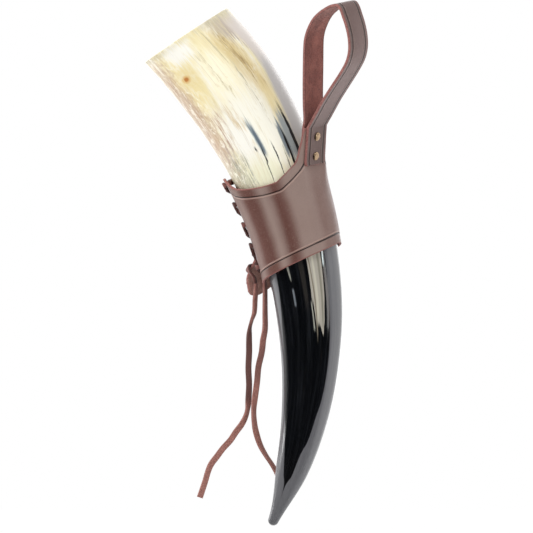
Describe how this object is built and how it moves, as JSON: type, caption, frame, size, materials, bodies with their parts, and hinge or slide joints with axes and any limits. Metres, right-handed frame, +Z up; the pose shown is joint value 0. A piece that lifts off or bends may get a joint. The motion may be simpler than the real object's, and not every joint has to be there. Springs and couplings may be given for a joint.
{
  "type": "horn drinking cup",
  "caption": "Curved cow-horn drinking cup hanging in a laced leather holder with a riveted belt loop; the horn draws up out of the holder.",
  "frame": {"origin": "inside top of the strap's loop, where a belt bears", "axes": "+Z up as the horn hangs, +X to the right of the mouth seen from the front, front faces -Y"},
  "size_m": [0.1666, 0.1162, 0.3922],
  "materials": {
    "horn": "polished horn, cream at the mouth and black towards the tip",
    "sleeve_leather": "oiled grain, brown",
    "strap_leather": "oiled grain outside, suede inside",
    "lace_leather": "cut thong, dark brown",
    "brass": "polished, slightly worn"
  },
  "bodies": {
    "holder": {"sleeve": "sleeve_leather", "belt_strap": "strap_leather", "rivet_upper_cap": "brass", "rivet_upper_post": "brass", "rivet_lower_cap": "brass", "rivet_lower_post": "brass", "lace_crossings": "lace_leather", "lace_end_left": "lace_leather", "lace_end_right": "lace_leather"},
    "horn": {"horn": "horn"}
  },
  "joints": [
    {"name": "horn_draw", "type": "hinge", "parent": "holder", "child": "horn", "pos_m": [-0.35686, 0.06535, -0.25163], "axis": [0, -1, 0], "range_deg": [0, 52]}
  ]
}
